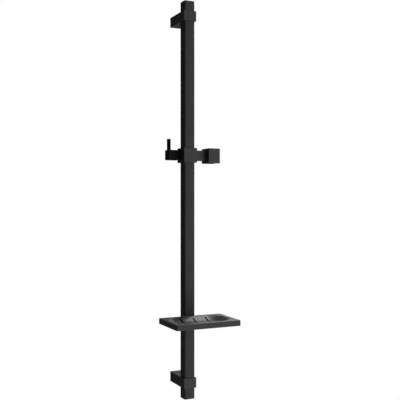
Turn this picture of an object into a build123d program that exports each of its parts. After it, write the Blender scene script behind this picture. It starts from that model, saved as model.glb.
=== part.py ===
"""Square wall shower rail with a sliding handset holder and a soap dish.

Millimetres. The wall is the plane Y = 0, the front is -Y, +Z is up, and X = 0 is the rail's axis.
"""

import os

from build123d import *

os.makedirs("parts", exist_ok=True)

# Rail: a square tube closed by a cap at each end
rail_len = 800.0
rail_w = 23.0
rail_r = 3.5
tube_wall = 1.5
cap_t = 2.0
cap_plug_len = 10.0
cap_gap = 0.1
wall_off = 57.5
rail_y = -wall_off
rail_half = rail_w / 2
tube_len = rail_len - 2 * cap_t
tube_bore = rail_w - 2 * tube_wall
tube_bore_r = rail_r - tube_wall

# Clearances shared by several fits
run_gap = 0.10
spindle_gap = 0.05
shoe_gap = 0.05
side_gap = 0.05
seat_gap = 0.10

# Wall brackets: a collar round the rail and an arm back to the wall
bracket_wall = 2.0
bracket_h = 20.0
upper_inset = 30.4
lower_inset = 32.2
hole_spacing = rail_len - upper_inset - lower_inset
bracket_z = hole_spacing / 2
rail_mid = bracket_z + upper_inset - rail_len / 2
bracket_edge_r = 0.5
bracket_w = rail_w + 2 * bracket_wall
bracket_depth = wall_off + rail_half + bracket_wall
pocket_depth = 30.0
pocket_wall = 3.0
pocket_w = bracket_w - 2 * pocket_wall
pocket_h = bracket_h - 2 * pocket_wall
pocket_r = 1.5

# Wall bases that fill the mouth of each bracket's pocket
base_len = 16.0
base_w = pocket_w - 2 * seat_gap
base_h = pocket_h - 2 * seat_gap
wall_screw_r = 2.75
wall_screw_head_r = 5.0
wall_screw_seat = 8.0
lock_r = 2.5
lock_y = 5.0
lock_dimple = 1.5
lock_sink = 0.4
hex_r = 1.45
hex_depth = 2.0
set_len = 14.0

# Slider block, its liner and the clamp spindle behind the rail
slider_up = 89.8
slider_z = rail_mid + slider_up
block_h = 29.4
block_left_side = 1.3
block_right_side = 2.1
block_face = 2.7
block_back_wall = 1.65
block_edge_r = 0.35
liner_t = 0.9
liner_sink = 0.4
spindle_r = 2.5
spindle_rise = 0.8
spindle_z = slider_z + spindle_rise
cam_e = 0.4
cam_sink = 0.1
cam_r = spindle_r - cam_e - cam_sink
cam_len = 14.6
shoe_t = 1.2
shoe_w = 13.6
shoe_h = 15.6
shoe_side = 0.2
shoe_travel = 0.25
channel_w = rail_w + 2 * (run_gap + liner_t)
channel_r = rail_r
block_left = channel_w / 2 + block_left_side
block_right = channel_w / 2 + block_right_side
block_w = block_left + block_right
block_mid_x = (block_right - block_left) / 2
block_front = channel_w / 2 + block_face
spindle_off = rail_half + 2 * shoe_gap + shoe_t + spindle_r - cam_sink
block_back = spindle_off + spindle_r + spindle_gap + block_back_wall
spindle_y = rail_y + spindle_off
window_w = shoe_w + 2 * shoe_side
window_h = shoe_h + 2 * shoe_side
window_floor = rail_half + shoe_gap + shoe_t + shoe_travel + 0.2

# Friction rings on both sides of the block
ring_t = 0.5
ring_r = block_back - spindle_off - 0.2
ring_bore_r = spindle_r + 0.15

# Clamp knob with its lever pin
knob_d = 20.8
knob_h = 20.2
knob_len = 24.4
knob_edge_r = 0.7
knob_x = block_left + ring_t + side_gap
knob_bore_len = 18.0
knob_screw_x = knob_x + 10.0
small_screw_r = 2.0
small_hex_r = 1.15
small_hex_depth = 1.8
screw_sink = 0.5
spindle_flat = 2.1
flat_y = spindle_y + spindle_flat
screw_end_y = spindle_y + knob_d / 2 - screw_sink
pin_r = 3.9
pin_len = 22.6
pin_inset = 0.3
pin_stub_r = 2.0
pin_stub_len = 4.5
pin_tip_r = 1.2
pin_x = knob_x + knob_len - pin_inset - pin_r

# Handset holder: a neck on the spindle and a cup with a tapered socket
neck_len = 25.6
neck_front = 15.4
neck_d = neck_front + knob_d / 2
neck_y = spindle_y + (knob_d / 2 - neck_front) / 2
cup_w = 25.2
cup_d = 34.0
cup_h = 30.2
cup_edge_r = 0.35
neck_x = block_right + ring_t + side_gap
cup_x = neck_x + neck_len
socket_x = cup_x + cup_w / 2
socket_y = rail_y - block_front + cup_d / 2
socket_wall = 1.2
socket_taper = 1.9
sleeve_t = 0.8
hose_slot_w = 14.0
socket_r = cup_w / 2 - socket_wall
sleeve_r = socket_r - sleeve_t
spindle_in_neck = 22.0
groove_x = neck_x + 13.0
groove_w = 2 * small_screw_r + 0.4
groove_r = 1.8
groove_gap = 0.1
groove_y = spindle_y + groove_r + groove_gap

# Soap dish
dish_w = 134.4
dish_d = 89.6
dish_h = 11.0
dish_down = 232.4
dish_top = rail_mid - dish_down
dish_gap = 0.6
dish_corner_r = 1.5
dish_edge_r = 0.5
dish_back = rail_y - rail_half - dish_gap
dish_mid_y = dish_back - dish_d / 2
dish_bottom = dish_top - dish_h
basin_depth = 8.0
basin_rim = 9.0
basin_slope = 18.0
basin_corner_r = 28.0
basin_lip_r = 10.0
basin_floor_r = 30.0
basin_w = dish_w - 2 * basin_rim
basin_d = dish_d - 2 * basin_rim
floor_w = basin_w - 2 * basin_slope
floor_d = basin_d - 2 * basin_slope
floor_corner_r = basin_corner_r - basin_slope
drain_w = 3.4
drain_len = 62.0
drain_pitch = 27.0

# Dish collar on the rail, with a tongue and two arms below the dish
collar_h = 16.0
collar_wall = 2.5
collar_back_wall = 6.5
collar_edge_r = 0.8
collar_hole = rail_w + 2 * run_gap
collar_w = collar_hole + 2 * collar_wall
collar_front = collar_hole / 2 + collar_wall
collar_back = collar_hole / 2 + collar_back_wall
collar_bottom = dish_bottom - collar_h
collar_mid_z = dish_bottom - collar_h / 2
tongue_w = 40.0
tongue_t = 4.0
tongue_len = 10.0
tongue_y = rail_y - collar_front - (tongue_len - collar_wall) / 2
arm_w = 9.0
arm_len = 44.0
pad_w = 12.0
pad_h = 9.0
pad_t = 2.0
pad_side = 0.1
dish_screw_r = 2.0
dish_screw_hole_r = 2.2
dish_screw_bite = 5.0
dish_screw_head_r = 3.7
dish_screw_head_t = 2.2
dish_screw_x = drain_pitch / 2
dish_screw_y = rail_y - collar_front - tongue_len / 2

# Rail tube
with BuildPart() as rail_tube:
    with BuildSketch(Plane((0, rail_y, rail_mid - tube_len / 2))):
        RectangleRounded(rail_w, rail_w, rail_r)
        RectangleRounded(tube_bore, tube_bore, tube_bore_r, mode=Mode.SUBTRACT)
    extrude(amount=tube_len)

# Upper and lower end caps
with BuildPart() as upper_cap:
    with BuildSketch(Plane((0, rail_y, rail_mid + tube_len / 2))):
        RectangleRounded(rail_w, rail_w, rail_r)
    extrude(amount=cap_t)
    fillet(upper_cap.faces().sort_by(Axis.Z)[-1].edges(), 0.4)
    with BuildSketch(Plane((0, rail_y, rail_mid + tube_len / 2))):
        RectangleRounded(tube_bore - 2 * cap_gap, tube_bore - 2 * cap_gap, tube_bore_r)
    extrude(amount=-cap_plug_len)
    chamfer(upper_cap.faces().sort_by(Axis.Z)[0].edges(), 0.5)

with BuildPart() as lower_cap:
    mirror(upper_cap.part, about=Plane((0, 0, rail_mid)))

# Upper and lower wall brackets
with BuildPart() as upper_bracket:
    with BuildSketch(Plane((0, -bracket_depth / 2, bracket_z - bracket_h / 2))):
        Rectangle(bracket_w, bracket_depth)
    extrude(amount=bracket_h)
    fillet(upper_bracket.faces().sort_by(Axis.Y)[0].edges(), bracket_edge_r)
    with BuildSketch(Plane((0, rail_y, bracket_z - bracket_h / 2))):
        RectangleRounded(rail_w + 2 * seat_gap, rail_w + 2 * seat_gap, rail_r)
    extrude(amount=bracket_h, mode=Mode.SUBTRACT)
    with BuildSketch(Plane((0, 0, bracket_z), x_dir=(1, 0, 0), z_dir=(0, -1, 0))):
        RectangleRounded(pocket_w, pocket_h, pocket_r)
    extrude(amount=pocket_depth, mode=Mode.SUBTRACT)
    with BuildSketch(Plane((0, -pocket_depth, bracket_z), x_dir=(1, 0, 0), z_dir=(0, -1, 0))):
        Circle(lock_r)
    extrude(amount=wall_off - rail_half - pocket_depth, mode=Mode.SUBTRACT)
    with BuildSketch(Plane((0, -lock_y, bracket_z + bracket_h / 2))):
        Circle(lock_r)
    extrude(amount=-(pocket_wall + seat_gap), mode=Mode.SUBTRACT)

with BuildPart() as lower_bracket:
    mirror(upper_bracket.part, about=Plane.XY)

# Upper and lower wall bases
with BuildPart() as upper_base:
    with BuildSketch(Plane((0, 0, bracket_z), x_dir=(1, 0, 0), z_dir=(0, -1, 0))):
        RectangleRounded(base_w, base_h, pocket_r)
    extrude(amount=base_len)
    with BuildSketch(Plane((0, 0, bracket_z), x_dir=(1, 0, 0), z_dir=(0, -1, 0))):
        Circle(wall_screw_r)
    extrude(amount=base_len, mode=Mode.SUBTRACT)
    with BuildSketch(Plane((0, -base_len, bracket_z), x_dir=(1, 0, 0), z_dir=(0, 1, 0))):
        Circle(wall_screw_head_r)
    extrude(amount=wall_screw_seat, mode=Mode.SUBTRACT)
    with BuildSketch(Plane((0, -lock_y, bracket_z + base_h / 2))):
        Circle(lock_r + 0.2)
    extrude(amount=-lock_dimple, mode=Mode.SUBTRACT)

with BuildPart() as lower_base:
    mirror(upper_base.part, about=Plane.XY)

# Base lock screws, one through each bracket's outer wall
lock_tip = bracket_z + base_h / 2 - lock_dimple
lock_len = bracket_z + bracket_h / 2 - lock_sink - lock_tip
with BuildPart() as upper_lock:
    with BuildSketch(Plane((0, -lock_y, lock_tip))):
        Circle(lock_r)
    extrude(amount=lock_len)
    with BuildSketch(Plane((0, -lock_y, lock_tip + lock_len))):
        RegularPolygon(hex_r, 6)
    extrude(amount=-hex_depth, mode=Mode.SUBTRACT)

with BuildPart() as lower_lock:
    mirror(upper_lock.part, about=Plane.XY)

# Rail set screws, inside the bracket arms, against the back of the rail
with BuildPart() as upper_set:
    with BuildSketch(Plane((0, rail_y + rail_half, bracket_z), x_dir=(1, 0, 0), z_dir=(0, 1, 0))):
        Circle(lock_r)
    extrude(amount=set_len)
    with BuildSketch(Plane((0, rail_y + rail_half + set_len, bracket_z), x_dir=(1, 0, 0), z_dir=(0, 1, 0))):
        RegularPolygon(hex_r, 6)
    extrude(amount=-hex_depth, mode=Mode.SUBTRACT)

with BuildPart() as lower_set:
    mirror(upper_set.part, about=Plane.XY)

# Slider block: rail channel, spindle bore and the window for the brake shoe
with BuildPart() as slider_block:
    with BuildSketch(Plane((block_mid_x, rail_y + (block_back - block_front) / 2, slider_z - block_h / 2))):
        Rectangle(block_w, block_front + block_back)
    extrude(amount=block_h)
    fillet(slider_block.edges(), block_edge_r)
    with BuildSketch(Plane((0, rail_y, slider_z - block_h / 2))):
        RectangleRounded(channel_w, channel_w, channel_r)
    extrude(amount=block_h, mode=Mode.SUBTRACT)
    with BuildSketch(Plane((0, rail_y + channel_w / 2 - 0.5, spindle_z), x_dir=(1, 0, 0), z_dir=(0, 1, 0))):
        Rectangle(window_w, window_h)
    extrude(amount=window_floor - channel_w / 2 + 0.5, mode=Mode.SUBTRACT)
    with BuildSketch(Plane((-block_left, spindle_y, spindle_z), x_dir=(0, 1, 0), z_dir=(1, 0, 0))):
        Circle(spindle_r + spindle_gap)
    extrude(amount=block_w, mode=Mode.SUBTRACT)

# Slider liner
liner_len = block_h - 2 * liner_sink
liner_bore = rail_w + 2 * run_gap
with BuildPart() as slider_liner:
    with BuildSketch(Plane((0, rail_y, slider_z - liner_len / 2))):
        RectangleRounded(channel_w, channel_w, channel_r)
        RectangleRounded(liner_bore, liner_bore, channel_r, mode=Mode.SUBTRACT)
    extrude(amount=liner_len)
    with BuildSketch(Plane((0, rail_y + rail_half - 1.0, spindle_z), x_dir=(1, 0, 0), z_dir=(0, 1, 0))):
        Rectangle(window_w, window_h)
    extrude(amount=3.0, mode=Mode.SUBTRACT)

# Friction rings
with BuildPart() as left_ring:
    with BuildSketch(Plane((-block_left, spindle_y, spindle_z), x_dir=(0, 1, 0), z_dir=(-1, 0, 0))):
        Circle(ring_r)
        Circle(ring_bore_r, mode=Mode.SUBTRACT)
    extrude(amount=ring_t)

with BuildPart() as right_ring:
    mirror(left_ring.part, about=Plane((block_mid_x, 0, 0), z_dir=(1, 0, 0)))

# Clamp spindle: plain ends, an eccentric middle, a screw flat and a retaining groove
spindle_left = -(knob_x + knob_bore_len - 0.2)
spindle_right = neck_x + spindle_in_neck
with BuildPart() as clamp_spindle:
    with BuildSketch(Plane((spindle_left, spindle_y, spindle_z), x_dir=(0, 1, 0), z_dir=(1, 0, 0))):
        Circle(spindle_r)
    extrude(amount=-cam_len / 2 - spindle_left)
    with BuildSketch(Plane((cam_len / 2, spindle_y, spindle_z), x_dir=(0, 1, 0), z_dir=(1, 0, 0))):
        Circle(spindle_r)
    extrude(amount=spindle_right - cam_len / 2)
    with BuildSketch(Plane((-cam_len / 2, spindle_y - cam_e, spindle_z), x_dir=(0, 1, 0), z_dir=(1, 0, 0))):
        Circle(cam_r)
    extrude(amount=cam_len)
    with BuildSketch(Plane((groove_x - groove_w / 2, spindle_y, spindle_z), x_dir=(0, 1, 0), z_dir=(1, 0, 0))):
        Circle(spindle_r + 1.0)
        Circle(groove_r, mode=Mode.SUBTRACT)
    extrude(amount=groove_w, mode=Mode.SUBTRACT)
    with BuildSketch(Plane((-knob_screw_x, flat_y, spindle_z), x_dir=(1, 0, 0), z_dir=(0, 1, 0))):
        Rectangle(3 * small_screw_r, 2 * spindle_r + 2)
    extrude(amount=spindle_r, mode=Mode.SUBTRACT)

# Clamp knob
with BuildPart() as clamp_knob:
    with BuildSketch(Plane((-knob_x, spindle_y, spindle_z), x_dir=(0, 1, 0), z_dir=(-1, 0, 0))):
        Rectangle(knob_d, knob_h)
    extrude(amount=knob_len)
    fillet(clamp_knob.edges(), knob_edge_r)
    with BuildSketch(Plane((-knob_x, spindle_y, spindle_z), x_dir=(0, 1, 0), z_dir=(-1, 0, 0))):
        Circle(spindle_r)
    extrude(amount=knob_bore_len, mode=Mode.SUBTRACT)
    with BuildSketch(Plane((-pin_x, spindle_y, spindle_z + knob_h / 2))):
        Circle(pin_stub_r)
    extrude(amount=-pin_stub_len, mode=Mode.SUBTRACT)
    with BuildSketch(Plane((-knob_screw_x, spindle_y, spindle_z), x_dir=(1, 0, 0), z_dir=(0, 1, 0))):
        Circle(small_screw_r)
    extrude(amount=knob_d / 2, mode=Mode.SUBTRACT)

# Lever pin that stands on the knob
with BuildPart() as lever_pin:
    with BuildSketch(Plane((-pin_x, spindle_y, spindle_z + knob_h / 2))):
        Circle(pin_r)
    extrude(amount=pin_len)
    fillet(lever_pin.faces().sort_by(Axis.Z)[-1].edges(), pin_tip_r)
    with BuildSketch(Plane((-pin_x, spindle_y, spindle_z + knob_h / 2))):
        Circle(pin_stub_r)
    extrude(amount=-pin_stub_len)

# Knob lock screw, from the back of the knob onto the spindle's flat
knob_screw_len = screw_end_y - flat_y
with BuildPart() as knob_screw:
    with BuildSketch(Plane((-knob_screw_x, flat_y, spindle_z), x_dir=(1, 0, 0), z_dir=(0, 1, 0))):
        Circle(small_screw_r)
    extrude(amount=knob_screw_len)
    with BuildSketch(Plane((-knob_screw_x, screw_end_y, spindle_z), x_dir=(1, 0, 0), z_dir=(0, 1, 0))):
        RegularPolygon(small_hex_r, 6)
    extrude(amount=-small_hex_depth, mode=Mode.SUBTRACT)

# Brake shoe between the eccentric and the back of the rail
with BuildPart() as brake_shoe:
    with BuildSketch(Plane((0, rail_y + rail_half + shoe_gap, spindle_z), x_dir=(1, 0, 0), z_dir=(0, 1, 0))):
        RectangleRounded(shoe_w, shoe_h, 1.0)
    extrude(amount=shoe_t)

# Handset holder: cup and neck in one piece
with BuildPart() as holder_cup:
    with BuildSketch(Plane((socket_x, socket_y, slider_z - cup_h / 2))):
        Rectangle(cup_w, cup_d)
    extrude(amount=cup_h)
    fillet(holder_cup.edges(), cup_edge_r)
    with BuildSketch(Plane((neck_x, neck_y, spindle_z), x_dir=(0, 1, 0), z_dir=(1, 0, 0))):
        RectangleRounded(neck_d, knob_h, knob_edge_r)
    extrude(amount=neck_len + socket_wall / 2)
    with BuildSketch(Plane((socket_x, socket_y, slider_z + cup_h / 2))):
        Circle(socket_r)
    extrude(amount=-cup_h, taper=socket_taper, mode=Mode.SUBTRACT)
    with BuildSketch(Plane((socket_x + cup_w / 2, socket_y, slider_z - cup_h / 2))):
        Rectangle(cup_w, hose_slot_w)
    extrude(amount=cup_h, mode=Mode.SUBTRACT)
    with BuildSketch(Plane((neck_x, spindle_y, spindle_z), x_dir=(0, 1, 0), z_dir=(1, 0, 0))):
        Circle(spindle_r + spindle_gap)
    extrude(amount=spindle_in_neck + 0.5, mode=Mode.SUBTRACT)
    with BuildSketch(Plane((groove_x, spindle_y, spindle_z), x_dir=(1, 0, 0), z_dir=(0, 1, 0))):
        Circle(small_screw_r)
    extrude(amount=knob_d / 2, mode=Mode.SUBTRACT)

# Socket sleeve with the same taper
with BuildPart() as socket_sleeve:
    with BuildSketch(Plane((socket_x, socket_y, slider_z + cup_h / 2))):
        Circle(socket_r)
    extrude(amount=-cup_h, taper=socket_taper)
    with BuildSketch(Plane((socket_x, socket_y, slider_z + cup_h / 2))):
        Circle(sleeve_r)
    extrude(amount=-cup_h, taper=socket_taper, mode=Mode.SUBTRACT)
    with BuildSketch(Plane((socket_x + cup_w / 2, socket_y, slider_z - cup_h / 2))):
        Rectangle(cup_w, hose_slot_w)
    extrude(amount=cup_h, mode=Mode.SUBTRACT)

# Holder screw: its tip runs in the spindle's groove
holder_screw_len = screw_end_y - groove_y
with BuildPart() as holder_screw:
    with BuildSketch(Plane((groove_x, groove_y, spindle_z), x_dir=(1, 0, 0), z_dir=(0, 1, 0))):
        Circle(small_screw_r)
    extrude(amount=holder_screw_len)
    with BuildSketch(Plane((groove_x, screw_end_y, spindle_z), x_dir=(1, 0, 0), z_dir=(0, 1, 0))):
        RegularPolygon(small_hex_r, 6)
    extrude(amount=-small_hex_depth, mode=Mode.SUBTRACT)

# Soap dish: a shallow bowl with a flat rim, sloping sides and three drain slots
with BuildPart() as soap_dish:
    with BuildSketch(Plane((0, dish_mid_y, dish_bottom))):
        RectangleRounded(dish_w, dish_d, dish_corner_r)
    extrude(amount=dish_h)
    fillet(soap_dish.faces().sort_by(Axis.Z)[-1].edges(), dish_edge_r)
    fillet(soap_dish.faces().sort_by(Axis.Z)[0].edges(), dish_edge_r)
    with BuildSketch(Plane((0, dish_mid_y, dish_top))):
        RectangleRounded(basin_w, basin_d, basin_corner_r)
    with BuildSketch(Plane((0, dish_mid_y, dish_top - basin_depth))):
        RectangleRounded(floor_w, floor_d, floor_corner_r)
    loft(mode=Mode.SUBTRACT)
    fillet(soap_dish.faces().filter_by(Axis.Z).group_by(Axis.Z)[1].edges(), basin_floor_r)
    fillet(soap_dish.faces().filter_by(Axis.Z).sort_by(Axis.Z)[-1].inner_wires()[0].edges(), basin_lip_r)
    with BuildSketch(Plane((0, dish_mid_y, dish_bottom))):
        with GridLocations(drain_pitch, 0, 3, 1):
            SlotOverall(drain_len, drain_w, rotation=90)
    extrude(amount=dish_h, mode=Mode.SUBTRACT)
    with BuildSketch(Plane((0, dish_screw_y, dish_bottom))):
        with GridLocations(2 * dish_screw_x, 0, 2, 1):
            Circle(dish_screw_r)
    extrude(amount=dish_screw_bite, mode=Mode.SUBTRACT)

# Dish collar with the tongue and arms that carry the dish
with BuildPart() as dish_collar:
    with BuildSketch(Plane((0, rail_y + (collar_back - collar_front) / 2, collar_bottom))):
        Rectangle(collar_w, collar_front + collar_back)
    extrude(amount=collar_h)
    fillet(dish_collar.edges().filter_by(Axis.Z), collar_edge_r)
    with BuildSketch(Plane((0, tongue_y, dish_bottom - tongue_t))):
        Rectangle(tongue_w, tongue_len + collar_wall)
    extrude(amount=tongue_t)
    with BuildSketch(Plane((0, rail_y - collar_front - tongue_len - arm_len / 2, dish_bottom - tongue_t))):
        with GridLocations(drain_pitch, 0, 2, 1):
            Rectangle(arm_w, arm_len)
    extrude(amount=tongue_t)
    with BuildSketch(Plane((0, rail_y, collar_bottom))):
        RectangleRounded(collar_hole, collar_hole, rail_r)
    extrude(amount=collar_h, mode=Mode.SUBTRACT)
    with BuildSketch(Plane((0, rail_y + rail_half, collar_mid_z), x_dir=(1, 0, 0), z_dir=(0, 1, 0))):
        Rectangle(pad_w + 2 * pad_side, pad_h + 2 * pad_side)
    extrude(amount=shoe_gap + pad_t, mode=Mode.SUBTRACT)
    with BuildSketch(Plane((0, rail_y + rail_half, collar_mid_z), x_dir=(1, 0, 0), z_dir=(0, 1, 0))):
        Circle(lock_r)
    extrude(amount=collar_back, mode=Mode.SUBTRACT)
    with BuildSketch(Plane((0, dish_screw_y, dish_bottom))):
        with GridLocations(2 * dish_screw_x, 0, 2, 1):
            Circle(dish_screw_hole_r)
    extrude(amount=-tongue_t, mode=Mode.SUBTRACT)

# Dish friction pad and its set screw
with BuildPart() as dish_pad:
    with BuildSketch(Plane((0, rail_y + rail_half + shoe_gap, collar_mid_z), x_dir=(1, 0, 0), z_dir=(0, 1, 0))):
        RectangleRounded(pad_w, pad_h, 0.8)
    extrude(amount=pad_t)

pad_back = rail_half + shoe_gap + pad_t
dish_set_len = collar_back - lock_sink - pad_back
dish_set_y = rail_y + collar_back - lock_sink
with BuildPart() as dish_set:
    with BuildSketch(Plane((0, rail_y + pad_back, collar_mid_z), x_dir=(1, 0, 0), z_dir=(0, 1, 0))):
        Circle(lock_r)
    extrude(amount=dish_set_len)
    with BuildSketch(Plane((0, dish_set_y, collar_mid_z), x_dir=(1, 0, 0), z_dir=(0, 1, 0))):
        RegularPolygon(hex_r, 6)
    extrude(amount=-hex_depth, mode=Mode.SUBTRACT)

# Dish screws, up through the tongue
with BuildPart() as left_dish_screw:
    with BuildSketch(Plane((-dish_screw_x, dish_screw_y, dish_bottom - tongue_t))):
        Circle(dish_screw_head_r)
    extrude(amount=-dish_screw_head_t)
    fillet(left_dish_screw.faces().sort_by(Axis.Z)[0].edges(), 0.6)
    with BuildSketch(Plane((-dish_screw_x, dish_screw_y, dish_bottom - tongue_t))):
        Circle(dish_screw_r)
    extrude(amount=tongue_t + dish_screw_bite)
    with BuildSketch(Plane((-dish_screw_x, dish_screw_y, dish_bottom - tongue_t - dish_screw_head_t))):
        RegularPolygon(small_hex_r, 6)
    extrude(amount=1.4, mode=Mode.SUBTRACT)

with BuildPart() as right_dish_screw:
    mirror(left_dish_screw.part, about=Plane.YZ)

# Labels and files
pieces = {
    "rail_tube": rail_tube,
    "upper_cap": upper_cap,
    "lower_cap": lower_cap,
    "upper_bracket": upper_bracket,
    "lower_bracket": lower_bracket,
    "upper_base": upper_base,
    "lower_base": lower_base,
    "upper_lock": upper_lock,
    "lower_lock": lower_lock,
    "upper_set": upper_set,
    "lower_set": lower_set,
    "slider_block": slider_block,
    "slider_liner": slider_liner,
    "left_ring": left_ring,
    "right_ring": right_ring,
    "clamp_spindle": clamp_spindle,
    "clamp_knob": clamp_knob,
    "lever_pin": lever_pin,
    "knob_screw": knob_screw,
    "brake_shoe": brake_shoe,
    "holder_cup": holder_cup,
    "socket_sleeve": socket_sleeve,
    "holder_screw": holder_screw,
    "soap_dish": soap_dish,
    "dish_collar": dish_collar,
    "dish_pad": dish_pad,
    "dish_set": dish_set,
    "left_dish_screw": left_dish_screw,
    "right_dish_screw": right_dish_screw,
}
for label, piece in pieces.items():
    piece.part.label = label
    export_step(piece.part, f"parts/{label}.step")
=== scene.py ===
"""Studio scene for a matt black square shower rail with a sliding handset holder and a soap dish.

The scene is in metres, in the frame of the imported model: the wall is Y = 0, the front is -Y and +Z is up. The
sizes of the dish and of the lever pin are in millimetres.
"""

import logging
import math
from dataclasses import dataclass
from enum import Enum
from typing import Sequence

import bpy
import numpy as np
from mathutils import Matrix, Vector


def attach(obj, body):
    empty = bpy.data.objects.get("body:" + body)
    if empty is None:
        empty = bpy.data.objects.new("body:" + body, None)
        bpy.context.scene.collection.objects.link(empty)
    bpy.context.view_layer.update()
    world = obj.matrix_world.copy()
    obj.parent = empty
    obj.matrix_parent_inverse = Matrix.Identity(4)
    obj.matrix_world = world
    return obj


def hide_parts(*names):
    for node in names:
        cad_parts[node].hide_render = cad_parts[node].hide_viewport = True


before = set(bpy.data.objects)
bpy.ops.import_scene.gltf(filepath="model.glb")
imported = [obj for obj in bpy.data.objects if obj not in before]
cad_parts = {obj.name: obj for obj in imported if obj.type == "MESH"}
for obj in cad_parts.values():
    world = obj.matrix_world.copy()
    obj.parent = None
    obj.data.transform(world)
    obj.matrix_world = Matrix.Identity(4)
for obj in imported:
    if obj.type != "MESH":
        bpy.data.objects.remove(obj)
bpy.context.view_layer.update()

logging.basicConfig(level=logging.INFO, format="%(levelname)s %(message)s")
LOG = logging.getLogger("shower_rail")

Colour = tuple[float, float, float]
Point = tuple[float, float, float]

MM = 0.001
SHARP_DEG = 35.0
BLACK: Colour = (0.0, 0.0, 0.0)
WHITE: Colour = (1.0, 1.0, 1.0)

# A Mix node's colour sockets share their names with its number sockets, so they are told apart by place
MIX_FIRST, MIX_SECOND, MIX_RESULT = 6, 7, 2


class Body(Enum):
    """The moving bodies that new pieces ride on."""

    LEVER = "clamp_lever"
    DISH = "dish"


class Slot(Enum):
    """The record's material slots."""

    TUBE = "black_tube"
    CAP = "black_cap"
    CAST = "black_cast"
    KNOB = "black_knob"
    PIN = "black_pin"
    DISH = "black_dish"
    STEEL = "steel"
    ZINC = "zinc_base"
    NYLON = "nylon"


def grey(level: float) -> Colour:
    """A neutral colour."""
    return level, level, level


class Graph:
    """A small helper that lays out the nodes of one material."""

    bevel_samples = 6
    edge_dot = 0.75
    face_dot = 0.98

    def __init__(self, name: str) -> None:
        """Starts a material with an output and a Principled shader.

        Args:
            name: The material's name.
        """
        self.material = bpy.data.materials.new(name)
        self.material.use_nodes = True
        self.tree = self.material.node_tree
        self.shader = next(n for n in self.tree.nodes if n.type == "BSDF_PRINCIPLED")
        self.place = self.node("ShaderNodeTexCoord").outputs["Object"]

    def node(self, kind: str, **settings: object) -> bpy.types.Node:
        """Adds a node and sets its properties.

        Args:
            kind: The node's type name.
            **settings: Properties of the node.

        Returns:
            The new node.
        """
        made = self.tree.nodes.new(kind)
        for key, value in settings.items():
            setattr(made, key, value)
        return made

    def link(self, start: bpy.types.NodeSocket, end: bpy.types.NodeSocket) -> None:
        """Joins two sockets."""
        self.tree.links.new(start, end)

    def feed(self, value: bpy.types.NodeSocket, name: str) -> None:
        """Joins a field to one of the shader's sockets."""
        self.link(value, self.shader.inputs[name])

    def put(self, **values: float) -> None:
        """Sets uniform numbers on the shader's own sockets, with underscores for spaces."""
        for key, value in values.items():
            self.shader.inputs[key.replace("_", " ")].default_value = value

    def stretched(self, scale: Point) -> bpy.types.NodeSocket:
        """The object's own coordinates, stretched along its axes.

        Args:
            scale: Factors along X, Y and Z.

        Returns:
            The stretched coordinate socket.
        """
        mapping = self.node("ShaderNodeMapping")
        mapping.inputs["Scale"].default_value = scale
        self.link(self.place, mapping.inputs["Vector"])
        return mapping.outputs["Vector"]

    def noise(self, per_metre: float, detail: float = 2.0,
              place: bpy.types.NodeSocket | None = None) -> bpy.types.NodeSocket:
        """A noise field of the object's own coordinates.

        Args:
            per_metre: Cells per metre.
            detail: Octaves.
            place: Coordinates to use instead of the plain object ones.

        Returns:
            The noise's factor socket.
        """
        made = self.node("ShaderNodeTexNoise")
        made.inputs["Scale"].default_value = per_metre
        made.inputs["Detail"].default_value = detail
        self.link(place or self.place, made.inputs["Vector"])
        return made.outputs["Fac"]

    def span(self, value: bpy.types.NodeSocket, low: float = 0.0, high: float = 1.0,
             start: float = 0.3, stop: float = 0.7) -> bpy.types.NodeSocket:
        """Maps a field from one span of numbers to another.

        Args:
            value: The field.
            low: What it gives at start.
            high: What it gives at stop.
            start: The field's lower end.
            stop: The field's upper end.

        Returns:
            The mapped socket.
        """
        made = self.node("ShaderNodeMapRange")
        for key, number in (("From Min", start), ("From Max", stop), ("To Min", low), ("To Max", high)):
            made.inputs[key].default_value = number
        self.link(value, made.inputs["Value"])
        return made.outputs["Result"]

    def mix(self, factor: bpy.types.NodeSocket, first: Colour | bpy.types.NodeSocket,
            second: Colour | bpy.types.NodeSocket) -> bpy.types.NodeSocket:
        """Blends two colours by a field.

        Args:
            factor: The field, 0 for the first colour and 1 for the second.
            first: A colour, or the socket that gives one.
            second: The other colour or socket.

        Returns:
            The blended colour socket.
        """
        made = self.node("ShaderNodeMix", data_type="RGBA")
        for end, colour in ((MIX_FIRST, first), (MIX_SECOND, second)):
            if isinstance(colour, tuple):
                made.inputs[end].default_value = (*colour, 1.0)
            else:
                self.link(colour, made.inputs[end])
        self.link(factor, made.inputs["Factor"])
        return made.outputs[MIX_RESULT]

    def corner(self, radius: float) -> bpy.types.NodeSocket:
        """A field that is 1 along the edges of the piece and 0 on its faces.

        The rounded normal that the Bevel node gives leaves the face's own normal only near an edge, so one
        less their dot product marks the edges.

        Args:
            radius: Half-width of the marked band.

        Returns:
            The field's socket.
        """
        soft = self.node("ShaderNodeBevel", samples=self.bevel_samples)
        soft.inputs["Radius"].default_value = radius
        face = self.node("ShaderNodeNewGeometry")
        dot = self.node("ShaderNodeVectorMath", operation="DOT_PRODUCT")
        self.link(soft.outputs["Normal"], dot.inputs[0])
        self.link(face.outputs["Normal"], dot.inputs[1])
        return self.span(dot.outputs["Value"], 1.0, 0.0, self.edge_dot, self.face_dot)

    def relief(self, height: bpy.types.NodeSocket, strength: float, depth: float) -> None:
        """Feeds a height field into the shader's normal.

        Args:
            height: The field.
            strength: Bump strength.
            depth: Height of the relief in metres.
        """
        bump = self.node("ShaderNodeBump")
        bump.inputs["Strength"].default_value = strength
        bump.inputs["Distance"].default_value = depth
        self.link(height, bump.inputs["Height"])
        self.feed(bump.outputs["Normal"], "Normal")


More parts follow.
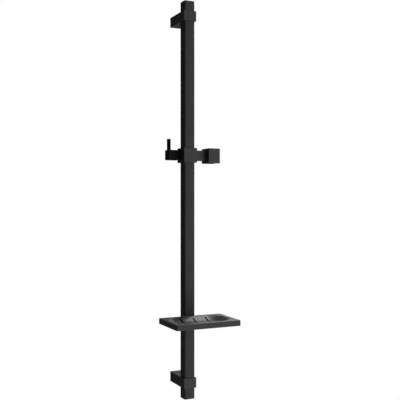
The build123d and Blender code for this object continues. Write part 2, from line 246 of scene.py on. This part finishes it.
@dataclass(frozen=True)
class PowderCoat:
    """A baked black coat: fine orange-peel grain, a faint drift of tone, and a painted highlight along its
    edges.
    """

    name: str
    dark: Colour
    light: Colour
    # colour of the painted highlight that lightens the coat along its edges
    edge: Colour
    smooth: float
    rough: float
    specular: float = 0.28
    ior: float = 1.5
    haze: float = 0.0
    haze_rough: float = 0.4
    cloud_per_metre: float = 38.0
    polish_per_metre: float = 420.0
    grain_per_metre: float = 1400.0
    grain_depth: float = 12e-6
    grain_strength: float = 0.5
    highlight_band: float = 0.0006

    def material(self) -> bpy.types.Material:
        """Builds the coat.

        Returns:
            The material.
        """
        g = Graph(self.name)
        tone = g.mix(g.span(g.noise(self.cloud_per_metre, detail=4.0)), self.dark, self.light)
        # the lighter colour along the edges is a painted highlight, not a change in the coat itself
        g.feed(g.mix(g.corner(self.highlight_band), tone, self.edge), "Base Color")
        g.feed(g.span(g.noise(self.polish_per_metre, detail=3.0), self.smooth, self.rough), "Roughness")
        g.relief(g.noise(self.grain_per_metre), self.grain_strength, self.grain_depth)
        g.put(Specular_IOR_Level=self.specular, IOR=self.ior,
              Sheen_Weight=self.haze, Sheen_Roughness=self.haze_rough)
        return g.material


@dataclass(frozen=True)
class TurnedSteel:
    """Bright turned steel with fine machining lines and a drift of polish."""

    name: str
    dark: Colour
    light: Colour
    smooth: float = 0.20
    rough: float = 0.36
    polish_per_metre: float = 300.0
    lines_per_metre: float = 2600.0
    line_stretch: Point = (1.0, 0.15, 0.15)
    line_depth: float = 6e-6
    line_strength: float = 0.25

    def material(self) -> bpy.types.Material:
        """Builds the metal.

        Returns:
            The material.
        """
        g = Graph(self.name)
        lines = g.noise(self.lines_per_metre, detail=3.0, place=g.stretched(self.line_stretch))
        g.feed(g.mix(g.span(lines), self.dark, self.light), "Base Color")
        g.feed(g.span(g.noise(self.polish_per_metre), self.smooth, self.rough), "Roughness")
        g.relief(lines, self.line_strength, self.line_depth)
        g.put(Metallic=1.0)
        return g.material


@dataclass(frozen=True)
class CastZinc:
    """Raw cast zinc: a dull grey metal with a sandy skin and darker pits."""

    name: str
    dark: Colour
    light: Colour
    smooth: float = 0.42
    rough: float = 0.62
    skin_per_metre: float = 240.0
    pits_per_metre: float = 900.0
    pit_floor: float = 0.35
    pit_rim: float = 0.6
    pit_depth: float = 30e-6
    pit_strength: float = 0.5

    def material(self) -> bpy.types.Material:
        """Builds the casting's skin.

        Returns:
            The material.
        """
        g = Graph(self.name)
        pits = g.noise(self.pits_per_metre, detail=4.0)
        flat = g.span(pits, start=self.pit_floor, stop=self.pit_rim)
        g.feed(g.mix(flat, self.dark, self.light), "Base Color")
        g.feed(g.span(g.noise(self.skin_per_metre, detail=3.0), self.smooth, self.rough), "Roughness")
        g.relief(pits, self.pit_strength, self.pit_depth)
        g.put(Metallic=1.0)
        return g.material


@dataclass(frozen=True)
class Nylon:
    """Dyed nylon: satin, with a faint flow pattern from the mould."""

    name: str
    dark: Colour
    light: Colour
    smooth: float = 0.38
    rough: float = 0.52
    skin_per_metre: float = 700.0
    flow_per_metre: float = 160.0
    flow_stretch: Point = (1.0, 1.0, 0.25)
    grain_per_metre: float = 2200.0
    grain_depth: float = 8e-6
    grain_strength: float = 0.3

    def material(self) -> bpy.types.Material:
        """Builds the plastic.

        Returns:
            The material.
        """
        g = Graph(self.name)
        flow = g.noise(self.flow_per_metre, detail=3.0, place=g.stretched(self.flow_stretch))
        g.feed(g.mix(g.span(flow), self.dark, self.light), "Base Color")
        g.feed(g.span(g.noise(self.skin_per_metre), self.smooth, self.rough), "Roughness")
        g.relief(g.noise(self.grain_per_metre), self.grain_strength, self.grain_depth)
        return g.material


# each powder coat's third colour is the painted highlight that lightens its edges
FINISHES: dict[Slot, PowderCoat | TurnedSteel | CastZinc | Nylon] = {
    Slot.TUBE: PowderCoat("tube_coat", grey(0.024), grey(0.030), grey(0.036), 0.48, 0.56),
    Slot.CAP: PowderCoat("cap_coat", grey(0.024), grey(0.030), grey(0.036), 0.50, 0.58),
    Slot.CAST: PowderCoat("casting_coat", grey(0.028), grey(0.034), grey(0.042), 0.38, 0.46),
    Slot.KNOB: PowderCoat("knob_coat", grey(0.0060), grey(0.0075), grey(0.010), 0.52, 0.60, specular=0.06),
    Slot.PIN: PowderCoat("pin_coat", grey(0.0015), grey(0.0025), grey(0.004), 0.55, 0.62, specular=0.05),
    Slot.DISH: PowderCoat("dish_coat", grey(0.0145), grey(0.0175), grey(0.024), 0.42, 0.48, specular=0.48,
                          haze=0.17, haze_rough=0.28, grain_per_metre=1100.0, grain_depth=8e-6),
    Slot.STEEL: TurnedSteel("screw_steel", (0.4756, 0.4756, 0.492), (0.58, 0.58, 0.60)),
    Slot.ZINC: CastZinc("base_zinc", (0.30, 0.31, 0.32), (0.47, 0.48, 0.49)),
    Slot.NYLON: Nylon("liner_nylon", (0.030, 0.030, 0.032), (0.044, 0.044, 0.046)),
}


class Wardrobe:
    """Makes each finish once and hands it out by slot."""

    def __init__(self) -> None:
        """Starts with nothing made."""
        self.made: dict[Slot, bpy.types.Material] = {}

    def get(self, slot: Slot) -> bpy.types.Material:
        """The material of a slot.

        Args:
            slot: The record's slot.

        Returns:
            Its material, made on first use.
        """
        if slot not in self.made:
            self.made[slot] = FINISHES[slot].material()
        return self.made[slot]

    def dress(self, slot: Slot, *names: str) -> None:
        """Puts a slot's material on CAD nodes.

        Args:
            slot: The record's slot.
            *names: Node names.
        """
        for name in names:
            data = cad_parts[name].data
            data.materials.clear()
            data.materials.append(self.get(slot))
            LOG.info("dressed %s in %s", name, slot.value)


def mesh_piece(name: str, points: np.ndarray, faces: list[Sequence[int]], slot: Slot,
               wardrobe: Wardrobe) -> bpy.types.Object:
    """Puts computed points and faces into a finished object, smooth but for its sharp edges.

    Args:
        name: The piece's name.
        points: Rows of X, Y and Z in metres.
        faces: Vertex numbers of each face.
        slot: What it is finished as.
        wardrobe: The finishes.

    Returns:
        The new object.
    """
    mesh = bpy.data.meshes.new(name)
    mesh.from_pydata(points.tolist(), [], faces)
    mesh.validate()
    mesh.materials.append(wardrobe.get(slot))
    made = bpy.data.objects.new(name, mesh)
    bpy.context.scene.collection.objects.link(made)
    mesh.polygons.foreach_set("use_smooth", np.ones(len(mesh.polygons), dtype=bool))
    mesh.set_sharp_from_angle(angle=math.radians(SHARP_DEG))
    mesh.update()
    LOG.info("built %s: %d points, %d faces", name, len(points), len(faces))
    return made


def ring_faces(rings: int, count: int) -> list[Sequence[int]]:
    """Quads between closed rings of equal count, with the first and last ring capped.

    Ring i, point j is vertex i * count + j, and j wraps round.

    Args:
        rings: How many rings.
        count: Points in each ring.

    Returns:
        The faces.
    """
    i, j = np.meshgrid(np.arange(rings - 1), np.arange(count), indexing="ij")
    k = (j + 1) % count
    quads = np.stack([i * count + j, i * count + k, (i + 1) * count + k, (i + 1) * count + j], axis=-1)
    last = (rings - 1) * count
    ends = [tuple(range(count))[::-1], tuple(range(last, last + count))]
    return [tuple(q) for q in quads.reshape(-1, 4).tolist()] + ends


def rounded_ring(half_x: float, half_y: float, radius: float, arc: int, side: int) -> np.ndarray:
    """A rounded rectangle, anticlockwise from above.

    Each corner is a quarter circle about a centre that lies one radius in from both sides, and the straight
    sides between them are divided evenly.

    Args:
        half_x: Half the width.
        half_y: Half the depth.
        radius: Corner radius.
        arc: Steps along a corner.
        side: Steps along a straight side.

    Returns:
        Rows of X and Y.
    """
    turn = np.linspace(0.0, np.pi / 2, arc + 1)
    quarter = radius * np.stack([np.cos(turn), np.sin(turn)], axis=1)
    centre = np.array([[half_x - radius, half_y - radius], [radius - half_x, half_y - radius],
                       [radius - half_x, radius - half_y], [half_x - radius, radius - half_y]])
    c, s = np.array([1.0, 0.0, -1.0, 0.0]), np.array([0.0, 1.0, 0.0, -1.0])
    spin = np.stack([np.stack([c, -s], axis=-1), np.stack([s, c], axis=-1)], axis=1)
    corners = np.einsum("kab,nb->kna", spin, quarter) + centre[:, None, :]
    step = (np.arange(1, side) / side)[None, :, None]
    start, stop = corners[:, -1][:, None, :], np.roll(corners, -1, axis=0)[:, 0][:, None, :]
    sides = start + (stop - start) * step
    return np.concatenate([corners, sides], axis=1).reshape(-1, 2)


@dataclass
class SoapDish:
    """The soap dish: a flat slab with a bowl pressed into its top and three drain slots through its floor."""

    width: float = 134.4
    depth: float = 89.6
    height: float = 11.0
    top: float = -233.3
    back: float = -69.6
    corner_r: float = 1.5
    edge_r: float = 0.5
    bowl_depth: float = 8.0
    rim: float = 9.0
    slope: float = 18.0
    bowl_corner_r: float = 28.0
    lip_r: float = 10.0
    floor_r: float = 30.0
    drain_w: float = 3.4
    drain_len: float = 62.0
    drain_pitch: float = 27.0
    drain_ease: float = 0.35
    drain_ease_deg: float = 40.0
    drain_flat: float = 0.001
    cut_over: float = 2.0
    arc: int = 24
    side: int = 18
    edge_steps: int = 6
    lip_steps: int = 8
    slope_steps: int = 9
    floor_steps: int = 16
    drain_steps: int = 12

    def middle(self) -> np.ndarray:
        """The middle of the dish's top."""
        return np.array([0.0, self.back - self.depth / 2, self.top])

    def bowl_profile(self) -> np.ndarray:
        """The bowl's section from the flat rim to the flat floor.

        A straight slope of the bowl's depth over its run is blended into the rim by an arc of the lip's
        radius and into the floor by an arc of the floor's radius. Each arc touches both lines, so it starts
        radius times the tangent of half the slope's angle away from where they meet.

        Returns:
            Rows of inset from the bowl's outline and height above the rim.
        """
        angle = math.atan2(self.bowl_depth, self.slope)
        lip, floor = (r * math.tan(angle / 2) for r in (self.lip_r, self.floor_r))
        a = np.linspace(0.0, angle, self.lip_steps + 1)
        upper = np.stack([self.lip_r * np.sin(a) - lip, self.lip_r * (np.cos(a) - 1.0)], axis=1)
        b = np.linspace(angle, 0.0, self.floor_steps + 1)
        lower = np.stack([self.slope + floor - self.floor_r * np.sin(b),
                          self.floor_r * (1.0 - np.cos(b)) - self.bowl_depth], axis=1)
        t = np.linspace(0.0, 1.0, self.slope_steps + 1)[1:-1, None]
        middle = upper[-1] + (lower[0] - upper[-1]) * t
        return np.concatenate([upper, middle, lower])

    def slab_profile(self) -> np.ndarray:
        """The slab's section from its underside, up its side and to the rim.

        Its two edges are quarter circles: at angle a the section is inset by the radius times one minus the
        sine, and lies the radius times one minus the cosine above the underside or below the top.

        Returns:
            Rows of inset from the slab's outline and height above the rim.
        """
        a = np.linspace(0.0, np.pi / 2, self.edge_steps + 1)
        inset = self.edge_r * (1.0 - np.sin(a))
        rise = self.edge_r * (1.0 - np.cos(a))
        return np.stack([np.concatenate([inset, inset[::-1]]),
                         np.concatenate([rise - self.height, -rise[::-1]])], axis=1)

    def shell(self) -> np.ndarray:
        """Rings of the slab from its underside, up its sides, over the rim and down the bowl.

        Each row of the two sections gives a rounded rectangle, drawn in by its inset on all sides and in its
        corner radius, at its height.

        Returns:
            Points as rings by count by 3, in millimetres.
        """
        half = np.array([self.width, self.depth]) / 2
        slab, bowl = self.slab_profile(), self.bowl_profile()
        plan = [rounded_ring(*(half - s), self.corner_r - s, self.arc, self.side) for s in slab[:, 0]]
        plan += [rounded_ring(*(half - self.rim - s), self.bowl_corner_r - s, self.arc, self.side)
                 for s in bowl[:, 0]]
        rings = np.stack(plan)
        level = np.concatenate([slab[:, 1], bowl[:, 1]])[:, None, None]
        heights = np.broadcast_to(level, rings.shape[:2] + (1,))
        return np.concatenate([rings, heights], axis=2) + self.middle()

    def slots(self) -> tuple[np.ndarray, list[Sequence[int]]]:
        """Three upright prisms with round ends, which cut the drain slots.

        Each is a rounded rectangle, a hair short of fully round at its ends, carried from below the dish to
        above it, and the three stand one pitch apart.

        Returns:
            Points in millimetres and faces.
        """
        half_w = self.drain_w / 2
        ring = rounded_ring(half_w, self.drain_len / 2, half_w - self.drain_flat, self.drain_steps, 1)
        base = np.repeat(ring[None], 2, axis=0)
        level = np.array([-self.height - self.cut_over, self.cut_over])[:, None, None]
        solid = np.concatenate([base, np.broadcast_to(level, base.shape[:2] + (1,))], axis=2).reshape(-1, 3)
        faces = ring_faces(2, len(ring))
        shift = np.array([-1.0, 0.0, 1.0])[:, None] * np.array([self.drain_pitch, 0.0, 0.0])
        points = (solid[None] + shift[:, None, :] + self.middle()).reshape(-1, 3)
        every = [tuple(v + k * len(solid) for v in f) for k in range(len(shift)) for f in faces]
        return points, every

    def build(self, wardrobe: Wardrobe) -> bpy.types.Object:
        """Builds the dish, cuts its slots and eases their edges.

        Args:
            wardrobe: The finishes.

        Returns:
            The dish.
        """
        rings = self.shell()
        dish = mesh_piece("dish_shell", rings.reshape(-1, 3) * MM, ring_faces(*rings.shape[:2]),
                          Slot.DISH, wardrobe)
        points, faces = self.slots()
        cutter = mesh_piece("drain_cutter", points * MM, faces, Slot.DISH, wardrobe)
        cut = dish.modifiers.new("drain_slots", "BOOLEAN")
        cut.object, cut.operation, cut.solver = cutter, "DIFFERENCE", "EXACT"
        ease = dish.modifiers.new("slot_edges", "BEVEL")
        ease.width, ease.segments, ease.limit_method = self.drain_ease * MM, 2, "ANGLE"
        ease.angle_limit = math.radians(self.drain_ease_deg)
        even = dish.modifiers.new("even_normals", "WEIGHTED_NORMAL")
        even.keep_sharp = True
        ready = bpy.data.meshes.new_from_object(dish.evaluated_get(bpy.context.evaluated_depsgraph_get()))
        dish.modifiers.clear()
        old, dish.data = dish.data, ready
        bpy.data.meshes.remove(old)
        bpy.data.objects.remove(cutter)
        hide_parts("soap_dish")
        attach(dish, Body.DISH.value)
        return dish

    def dress(self, wardrobe: Wardrobe) -> None:
        """Finishes the dish's solid, and the collar, pad and screws below it.

        Args:
            wardrobe: The finishes.
        """
        wardrobe.dress(Slot.CAST, "dish_collar")
        wardrobe.dress(Slot.DISH, "soap_dish")
        wardrobe.dress(Slot.NYLON, "dish_pad")
        wardrobe.dress(Slot.STEEL, "dish_set", "left_dish_screw", "right_dish_screw")


@dataclass
class ClampLever:
    """The knob, its spindle and the pin that stands on it."""

    pin_x: float = -34.55
    pin_y: float = -42.3
    pin_base: float = 99.8
    pin_r: float = 3.9
    pin_len: float = 22.6
    foot_chamfer: float = 0.25
    tip_r: float = 1.2
    tip_steps: int = 9
    around: int = 48

    def pin_section(self) -> np.ndarray:
        """The pin's section: a small foot chamfer, a straight side and a tip rounded by a quarter circle.

        Returns:
            Rows of radius and height above the foot.
        """
        a = np.linspace(0.0, np.pi / 2, self.tip_steps + 1)
        tip = np.stack([self.pin_r - self.tip_r * (1.0 - np.cos(a)),
                        self.pin_len - self.tip_r * (1.0 - np.sin(a))], axis=1)
        foot = np.array([[self.pin_r - self.foot_chamfer, 0.0], [self.pin_r, self.foot_chamfer]])
        return np.concatenate([foot, tip])

    def build(self, wardrobe: Wardrobe) -> bpy.types.Object:
        """Turns the pin's section about its axis.

        A point at radius r, height h and angle w is r times the cosine, r times the sine, and h.

        Args:
            wardrobe: The finishes.

        Returns:
            The pin.
        """
        section = self.pin_section()
        w = np.linspace(0.0, 2.0 * np.pi, self.around, endpoint=False)
        radius, height = section[:, :1], section[:, 1:]
        points = np.stack(np.broadcast_arrays(self.pin_x + radius * np.cos(w), self.pin_y + radius * np.sin(w),
                                              self.pin_base + height), axis=-1)
        pin = mesh_piece("round_pin", points.reshape(-1, 3) * MM, ring_faces(len(section), self.around),
                         Slot.PIN, wardrobe)
        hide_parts("lever_pin")
        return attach(pin, Body.LEVER.value)

    def dress(self, wardrobe: Wardrobe) -> None:
        """Finishes the knob, its screw, the spindle and the pin's solid.

        Args:
            wardrobe: The finishes.
        """
        wardrobe.dress(Slot.KNOB, "clamp_knob")
        wardrobe.dress(Slot.PIN, "lever_pin")
        wardrobe.dress(Slot.STEEL, "clamp_spindle", "knob_screw")


@dataclass
class Rail:
    """The rail with its caps, wall brackets, bases and screws, all as the solids give them."""

    def dress(self, wardrobe: Wardrobe) -> None:
        """Finishes the fixed pieces.

        Args:
            wardrobe: The finishes.
        """
        wardrobe.dress(Slot.TUBE, "rail_tube")
        wardrobe.dress(Slot.CAP, "upper_cap", "lower_cap")
        wardrobe.dress(Slot.CAST, "upper_bracket", "lower_bracket")
        wardrobe.dress(Slot.ZINC, "upper_base", "lower_base")
        wardrobe.dress(Slot.STEEL, "upper_lock", "lower_lock", "upper_set", "lower_set")


@dataclass
class HandsetHolder:
    """The slider block on the rail and the cup that tilts beside it, as the solids give them."""

    def dress(self, wardrobe: Wardrobe) -> None:
        """Finishes the block, the cup and what runs inside them.

        Args:
            wardrobe: The finishes.
        """
        wardrobe.dress(Slot.CAST, "slider_block", "holder_cup")
        wardrobe.dress(Slot.NYLON, "slider_liner", "left_ring", "right_ring", "brake_shoe", "socket_sleeve")
        wardrobe.dress(Slot.STEEL, "holder_screw")


def stage_sheet(name: str, points: np.ndarray, material: bpy.types.Material) -> bpy.types.Object:
    """A stage surface on a grid of two parameters.

    Args:
        name: The surface's name.
        points: Grid of points, rows by columns by 3.
        material: Its material.

    Returns:
        The surface's object.
    """
    rows, cols = points.shape[:2]
    i, j = np.meshgrid(np.arange(rows - 1), np.arange(cols - 1), indexing="ij")
    quads = np.stack([i * cols + j, (i + 1) * cols + j, (i + 1) * cols + j + 1, i * cols + j + 1], axis=-1)
    mesh = bpy.data.meshes.new(name)
    mesh.from_pydata(points.reshape(-1, 3).tolist(), [], quads.reshape(-1, 4).tolist())
    mesh.materials.append(material)
    made = bpy.data.objects.new(name, mesh)
    bpy.context.scene.collection.objects.link(made)
    return made


def seen_plainly(tree: bpy.types.NodeTree) -> bpy.types.NodeSocket:
    """A field that is 1 for what the camera sees straight, in gloss or through glass.

    Args:
        tree: The node tree to add it to.

    Returns:
        The field's socket.
    """
    path = tree.nodes.new("ShaderNodeLightPath")
    first, second = (tree.nodes.new("ShaderNodeMath") for _ in range(2))
    first.operation = second.operation = "MAXIMUM"
    tree.links.new(path.outputs["Is Camera Ray"], first.inputs[0])
    tree.links.new(path.outputs["Is Glossy Ray"], first.inputs[1])
    tree.links.new(first.outputs[0], second.inputs[0])
    tree.links.new(path.outputs["Is Transmission Ray"], second.inputs[1])
    return second.outputs[0]


@dataclass(frozen=True)
class Card:
    """A dark card bent round the object, which the camera doesn't see."""

    name: str
    radius: float
    first_deg: float
    last_deg: float
    low: float
    high: float
    dark: Colour = grey(0.13)
    light: Colour = grey(0.156)
    mottle_per_metre: float = 3.0
    around: int = 65
    up: int = 5

    def paint(self) -> bpy.types.Material:
        """Matt paint with a faint mottle, grey in gloss and black to the soft light that it stands in.

        Returns:
            The material.
        """
        g = Graph(self.name)
        mottle = g.mix(g.span(g.noise(self.mottle_per_metre)), self.dark, self.light)
        in_gloss = g.node("ShaderNodeLightPath").outputs["Is Glossy Ray"]
        g.feed(g.mix(in_gloss, BLACK, mottle), "Base Color")
        g.put(Roughness=1.0, Specular_IOR_Level=0.0)
        return g.material

    def build(self) -> None:
        """Bends the card round the object.

        At turn w and height z a point is the radius times minus the sine, the radius times the cosine, and z,
        so w is 0 straight behind the object and grows towards its left.
        """
        w = np.radians(np.linspace(self.first_deg, self.last_deg, self.around))[:, None]
        z = np.linspace(self.low, self.high, self.up)[None, :]
        points = np.stack(np.broadcast_arrays(-self.radius * np.sin(w), self.radius * np.cos(w), z), axis=-1)
        card = stage_sheet(self.name, points, self.paint())
        card.visible_camera = card.visible_shadow = False


@dataclass(frozen=True)
class Lamp:
    """A soft rectangular lamp, which may be kept out of the gloss."""

    name: str
    place: Point
    aim: Point
    width: float
    height: float
    watts: float
    in_gloss: bool

    def build(self) -> None:
        """Hangs the lamp and turns it to what it lights."""
        data = bpy.data.lights.new(self.name, "AREA")
        data.shape, data.size, data.size_y, data.energy = "RECTANGLE", self.width, self.height, self.watts
        made = bpy.data.objects.new(self.name, data)
        bpy.context.scene.collection.objects.link(made)
        made.location = self.place
        made.rotation_euler = (Vector(self.aim) - Vector(self.place)).to_track_quat("-Z", "Y").to_euler()
        made.visible_glossy = self.in_gloss
        LOG.info("lamp %s of %.1f W", self.name, self.watts)


# One card from behind round the left side to the front, and one far off, low and behind on the right
CARDS = (
    Card("left_card", radius=1.3, first_deg=-25.5, last_deg=186.0, low=-1.2, high=2.8),
    Card("low_card", radius=4.0, first_deg=-80.0, last_deg=-10.0, low=-3.0, high=-0.15),
)

# A broad low key from the front, a little right, and a lamp high behind on the right for the bowl
LAMPS = (
    Lamp("key", place=(0.45, -1.92, -0.4), aim=(0.0, -0.06, 0.0), width=2.0, height=1.7, watts=29.3,
         in_gloss=False),
    Lamp("bowl", place=(0.801, 0.410, 0.794), aim=(0.0, -0.11, -0.23), width=0.4, height=0.4, watts=10.2,
         in_gloss=True),
)


@dataclass
class Studio:
    """A white studio: a pale floor well below, dark cards, even light all round, two lamps and the camera."""

    floor_z: float = -1.25
    floor_r: float = 2.5
    floor_hole: float = 0.001
    floor_dark: Colour = grey(0.82)
    floor_light: Colour = grey(0.86)
    floor_rough: float = 0.9
    floor_glow: float = 0.45
    edge_glow: float = 0.85
    fade_start: float = 1.30
    fade_stop: float = 1.85
    floor_rings: int = 8
    floor_around: int = 97
    mottle_per_metre: float = 3.0
    around: float = 0.5
    turn_deg: float = 25.248
    distance: float = 1.4179
    aside: float = 0.02535
    eye_z: float = -0.0011
    rail_y: float = -0.0575
    focal_px: float = 701.13
    image_px: float = 400.0
    sensor_mm: float = 36.0
    near: float = 0.05
    far: float = 50.0

    def floor_paint(self) -> bpy.types.Material:
        """Pale matt paint that glows for the camera, more so far from the object, so that it fades to white.

        Returns:
            The material.
        """
        g = Graph("floor_paint")
        mottle = g.span(g.noise(self.mottle_per_metre))
        g.feed(g.mix(mottle, self.floor_dark, self.floor_light), "Base Color")
        g.put(Roughness=self.floor_rough, Specular_IOR_Level=0.0)
        reach = g.node("ShaderNodeVectorMath", operation="LENGTH")
        g.link(g.place, reach.inputs[0])
        fade = g.span(reach.outputs["Value"], self.floor_glow, self.edge_glow, self.fade_start, self.fade_stop)
        glow = g.node("ShaderNodeEmission")
        g.link(fade, glow.inputs["Strength"])
        seen, both = g.node("ShaderNodeMixShader"), g.node("ShaderNodeAddShader")
        out = next(n for n in g.tree.nodes if n.type == "OUTPUT_MATERIAL")
        g.link(seen_plainly(g.tree), seen.inputs["Fac"])
        g.link(g.shader.outputs[0], seen.inputs[1])
        g.link(g.shader.outputs[0], both.inputs[0])
        g.link(glow.outputs[0], both.inputs[1])
        g.link(both.outputs[0], seen.inputs[2])
        g.link(seen.outputs[0], out.inputs["Surface"])
        return g.material

    def floor(self) -> None:
        """The pale round floor, far enough below that its shadow stays out of the picture.

        At radius r and turn w a point is r times the cosine, r times the sine, and the floor's height.
        """
        r = np.linspace(self.floor_hole, self.floor_r, self.floor_rings)[:, None]
        w = np.linspace(0.0, 2.0 * np.pi, self.floor_around)[None, :]
        points = np.stack(np.broadcast_arrays(r * np.cos(w), r * np.sin(w), self.floor_z), axis=-1)
        stage_sheet("floor", points, self.floor_paint())

    def world(self) -> None:
        """Even light all round, and white where the camera, gloss or glass looks past the object."""
        world = bpy.data.worlds.new("studio_world")
        bpy.context.scene.world = world
        world.use_nodes = True
        tree = world.node_tree
        shade = next(n for n in tree.nodes if n.type == "BACKGROUND")
        out = next(n for n in tree.nodes if n.type == "OUTPUT_WORLD")
        white = tree.nodes.new("ShaderNodeBackground")
        for light, strength in ((shade, self.around), (white, 1.0)):
            light.inputs["Color"].default_value = (*WHITE, 1.0)
            light.inputs["Strength"].default_value = strength
        mix = tree.nodes.new("ShaderNodeMixShader")
        tree.links.new(seen_plainly(tree), mix.inputs["Fac"])
        tree.links.new(shade.outputs[0], mix.inputs[1])
        tree.links.new(white.outputs[0], mix.inputs[2])
        tree.links.new(mix.outputs[0], out.inputs["Surface"])

    def camera(self) -> None:
        """The camera: level, at the photograph's angle, with the rail a little left of the middle."""
        turn = math.radians(self.turn_deg)
        ahead = np.array([math.sin(turn), math.cos(turn), 0.0])
        right = np.array([math.cos(turn), -math.sin(turn), 0.0])
        place = np.array([0.0, self.rail_y, self.eye_z]) - self.distance * ahead + self.aside * right
        data = bpy.data.cameras.new("studio_camera")
        data.sensor_fit, data.sensor_width = "HORIZONTAL", self.sensor_mm
        data.lens = self.sensor_mm * self.focal_px / self.image_px
        data.clip_start, data.clip_end = self.near, self.far
        eye = bpy.data.objects.new("studio_camera", data)
        bpy.context.scene.collection.objects.link(eye)
        eye.location = place
        eye.rotation_euler = (math.pi / 2, 0.0, -turn)
        bpy.context.scene.camera = eye

    def build(self) -> None:
        """Sets the floor, cards, world, lamps, camera and view."""
        self.floor()
        for card in CARDS:
            card.build()
        self.world()
        for lamp in LAMPS:
            lamp.build()
        self.camera()
        bpy.context.scene.view_settings.view_transform = "Standard"


def main() -> None:
    """Builds and dresses each sub-assembly, then the studio."""
    wardrobe = Wardrobe()
    dish, lever = SoapDish(), ClampLever()
    for part in (Rail(), HandsetHolder(), lever, dish):
        part.dress(wardrobe)
    for part in (lever, dish):
        made = part.build(wardrobe)
        LOG.info("placed %s with %d faces", made.name, len(made.data.polygons))
    Studio().build()


if __name__ == "__main__":
    main()
